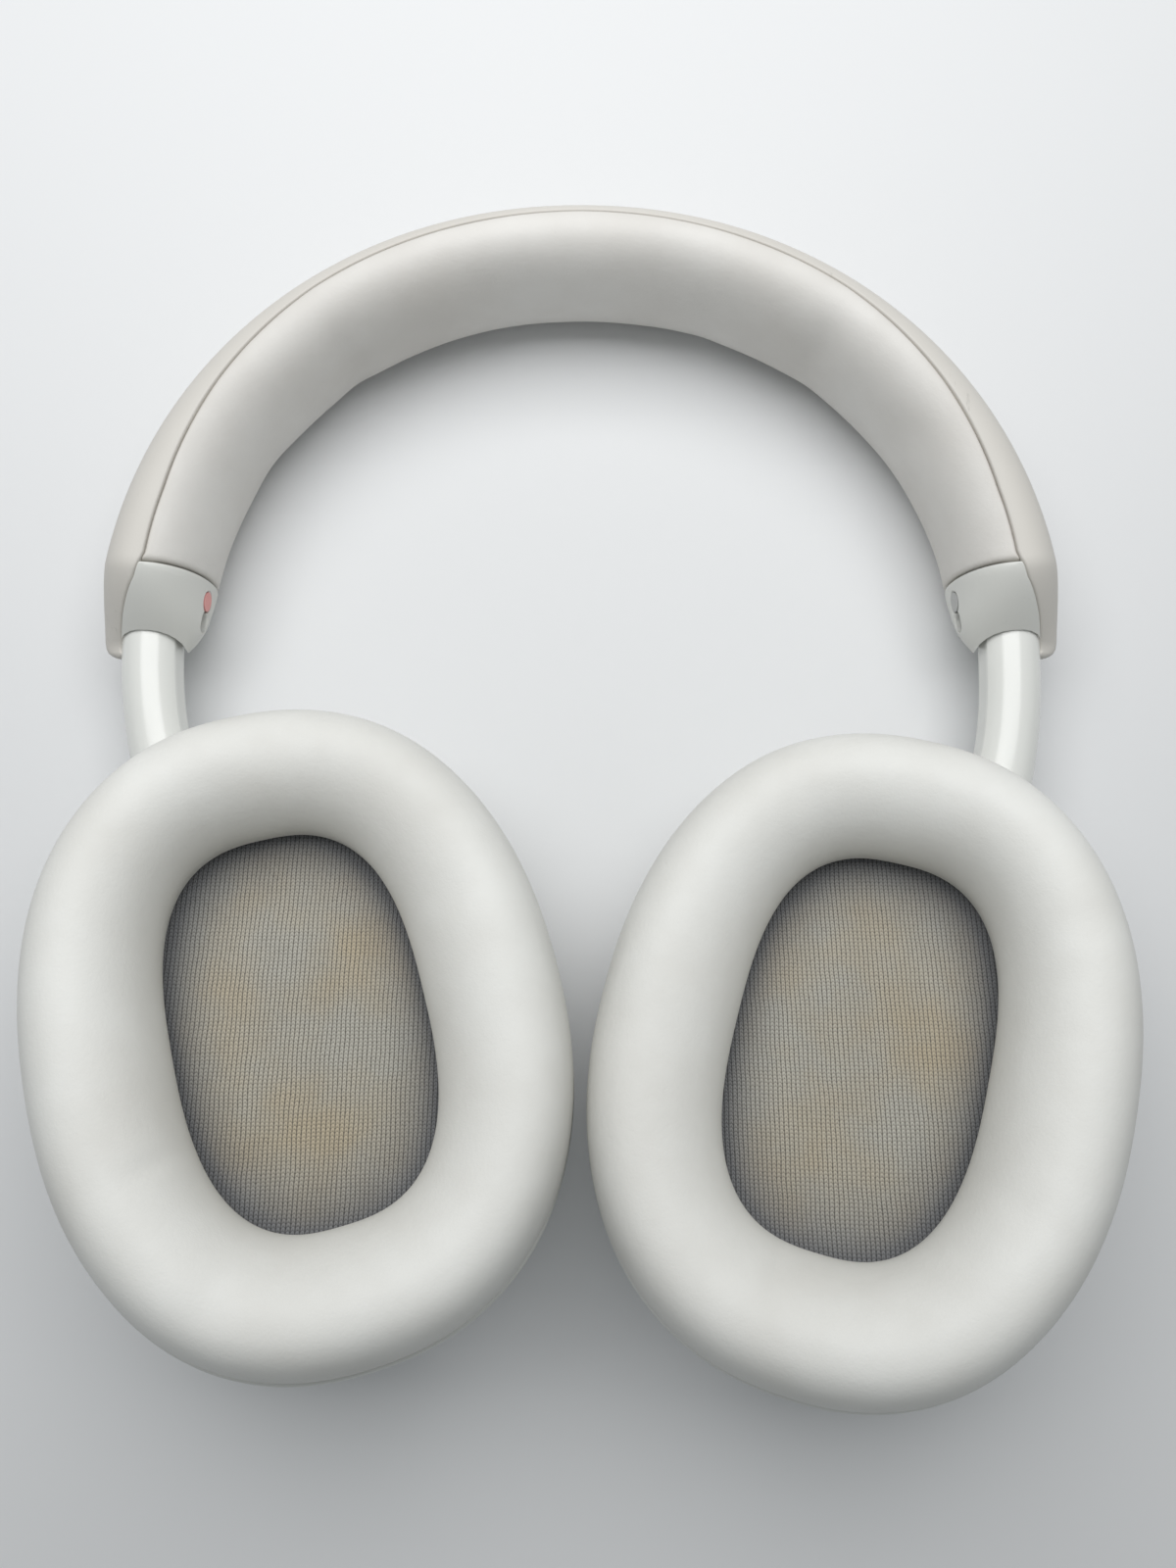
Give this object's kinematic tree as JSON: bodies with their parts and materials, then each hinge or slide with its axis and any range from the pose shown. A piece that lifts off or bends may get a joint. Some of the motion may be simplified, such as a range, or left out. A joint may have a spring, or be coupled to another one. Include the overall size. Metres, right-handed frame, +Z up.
{
  "type": "over-ear headphones",
  "caption": "Over-ear wireless headphones lying flat with cushioned oval ear pads up, a padded arched headband, and ear cups that slide, swivel and tilt.",
  "frame": {"origin": "middle of the underside of the bounding box, on the surface the headphones lie on", "axes": "+X towards the wearer's left ear, +Y towards the crown of the headband, +Z up, the way the ear pads face"},
  "size_m": [0.1706, 0.194, 0.0593],
  "materials": {
    "shell_plastic": "fine matte moulded plastic",
    "stem_plastic": "smooth satin-gloss moulded plastic",
    "cover_plastic": "soft-touch taupe-grey plastic",
    "pad_leatherette": "matte synthetic leather over foam",
    "band_leatherette": "matte synthetic leather over foam",
    "knit_fabric": "grey knit with light wear",
    "inner_plastic": "dark moulded plastic",
    "steel": "machined steel",
    "spring_steel": "rolled spring steel",
    "black_plastic": "black plastic and mesh",
    "board": "solder-masked circuit board",
    "battery_foil": "foil pouch cell",
    "wire_rubber": "insulated wire",
    "red_mark": "pale red insert",
    "grey_mark": "grey insert",
    "lamp_lens": "clear-white lens"
  },
  "bodies": {
    "headband": {"headband_cover": "cover_plastic", "headband_cushion": "band_leatherette", "headband_frame": "inner_plastic", "headband_spring": "spring_steel", "headband_wire": "wire_rubber", "left_side_mark": "grey_mark", "left_sleeve": "shell_plastic", "left_sleeve_screw": "steel", "left_slide_shoe": "inner_plastic", "right_side_mark": "red_mark", "right_sleeve": "shell_plastic", "right_sleeve_screw": "steel", "right_slide_shoe": "inner_plastic"},
    "right_arm": {"right_friction_washer": "spring_steel", "right_shaft_screw": "steel", "right_stem": "stem_plastic", "right_stem_stop": "inner_plastic", "right_swivel_shaft": "steel"},
    "right_gimbal": {"right_swivel_yoke": "steel", "right_tilt_pin_inner": "steel", "right_tilt_pin_outer": "steel"},
    "right_cup": {"battery": "battery_foil", "charging_port": "steel", "right_baffle": "inner_plastic", "right_bracket_screw": "steel", "right_circuit_board": "board", "right_driver_basket": "inner_plastic", "right_driver_cover": "knit_fabric", "right_driver_diaphragm": "black_plastic", "right_driver_magnet": "steel", "right_ear_pad": "pad_leatherette", "right_ear_shell": "shell_plastic", "right_hinge_bracket": "steel", "right_mic_cover_long": "black_plastic", "right_pad_ring": "inner_plastic", "status_lamp": "lamp_lens"},
    "left_arm": {"left_friction_washer": "spring_steel", "left_shaft_screw": "steel", "left_stem": "stem_plastic", "left_stem_stop": "inner_plastic", "left_swivel_shaft": "steel"},
    "left_gimbal": {"left_swivel_yoke": "steel", "left_tilt_pin_inner": "steel", "left_tilt_pin_outer": "steel"},
    "left_cup": {"headphone_jack": "black_plastic", "left_baffle": "inner_plastic", "left_bracket_screw": "steel", "left_circuit_board": "board", "left_driver_basket": "inner_plastic", "left_driver_cover": "knit_fabric", "left_driver_diaphragm": "black_plastic", "left_driver_magnet": "steel", "left_ear_pad": "pad_leatherette", "left_ear_shell": "shell_plastic", "left_hinge_bracket": "steel", "left_mic_cover_long": "black_plastic", "left_mic_cover_short": "black_plastic", "left_pad_ring": "inner_plastic"},
    "power_button": {"power_button": "shell_plastic"},
    "mode_button": {"mode_button": "shell_plastic"}
  },
  "joints": [
    {"name": "right_arm_slide", "type": "slide", "parent": "headband", "child": "right_arm", "axis": [0, -1, 0], "range_m": [0, 0.02]},
    {"name": "right_cup_swivel", "type": "hinge", "parent": "right_arm", "child": "right_gimbal", "pos_m": [-0.06892, -0.01315, 0.014], "axis": [-0.1736, 0.9848, 0], "range_deg": [-10, 78]},
    {"name": "right_cup_tilt", "type": "hinge", "parent": "right_gimbal", "child": "right_cup", "pos_m": [-0.06892, -0.01315, 0.014], "axis": [0.9656, 0.1703, -0.1963], "range_deg": [-2, 16]},
    {"name": "left_arm_slide", "type": "slide", "parent": "headband", "child": "left_arm", "axis": [0, -1, 0], "range_m": [-0.0038, 0.0162]},
    {"name": "left_cup_swivel", "type": "hinge", "parent": "left_arm", "child": "left_gimbal", "pos_m": [0.06892, -0.01695, 0.014], "axis": [-0.1736, -0.9848, 0], "range_deg": [-10, 78]},
    {"name": "left_cup_tilt", "type": "hinge", "parent": "left_gimbal", "child": "left_cup", "pos_m": [0.06892, -0.01695, 0.014], "axis": [0.9656, -0.1703, 0.1963], "range_deg": [-2, 16]},
    {"name": "power_button_press", "type": "slide", "parent": "left_cup", "child": "power_button", "axis": [-0.7439, 0.6102, -0.2726], "range_m": [0, 0.0006], "stiffness_N_per_m": 500, "springref_m": -0.0008},
    {"name": "mode_button_press", "type": "slide", "parent": "left_cup", "child": "mode_button", "axis": [-0.9012, 0.364, -0.2352], "range_m": [0, 0.0006], "stiffness_N_per_m": 500, "springref_m": -0.0008}
  ]
}
